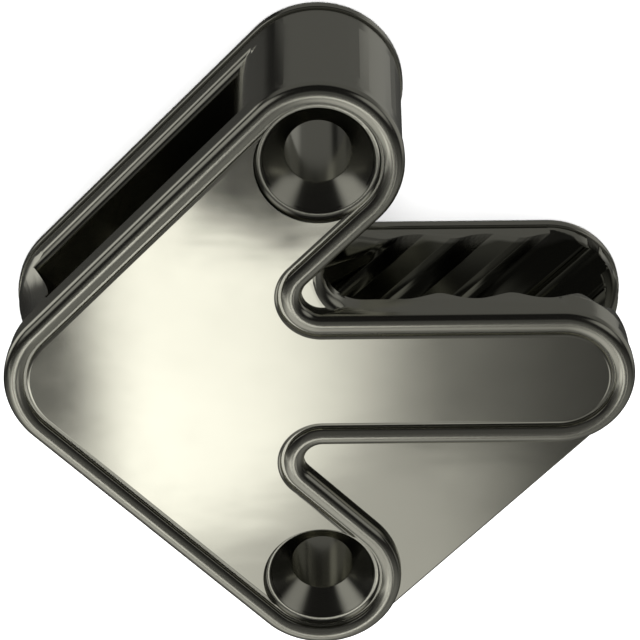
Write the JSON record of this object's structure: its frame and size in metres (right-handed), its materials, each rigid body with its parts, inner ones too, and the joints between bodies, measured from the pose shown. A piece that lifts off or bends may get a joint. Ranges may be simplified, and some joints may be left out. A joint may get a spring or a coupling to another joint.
{
  "type": "jam cleat",
  "caption": "Flat-backed polished metal jam cleat with an arrow-shaped raised front, a toothed vee groove that grips a rope led through a side slot, and countersunk screw holes.",
  "frame": {"origin": "On the flat back face, half way between the axes of the two screw holes.", "axes": "+Z out of the front panel, away from the surface it is screwed to; +Y from one screw hole to the other, towards the one beside the open notch; +X towards the open end of the toothed groove."},
  "size_m": [0.0543, 0.055, 0.0173],
  "materials": {
    "metal": "mirror-polished casting, slightly grey"
  },
  "bodies": {
    "root": {"cleat": "metal"}
  },
  "joints": []
}
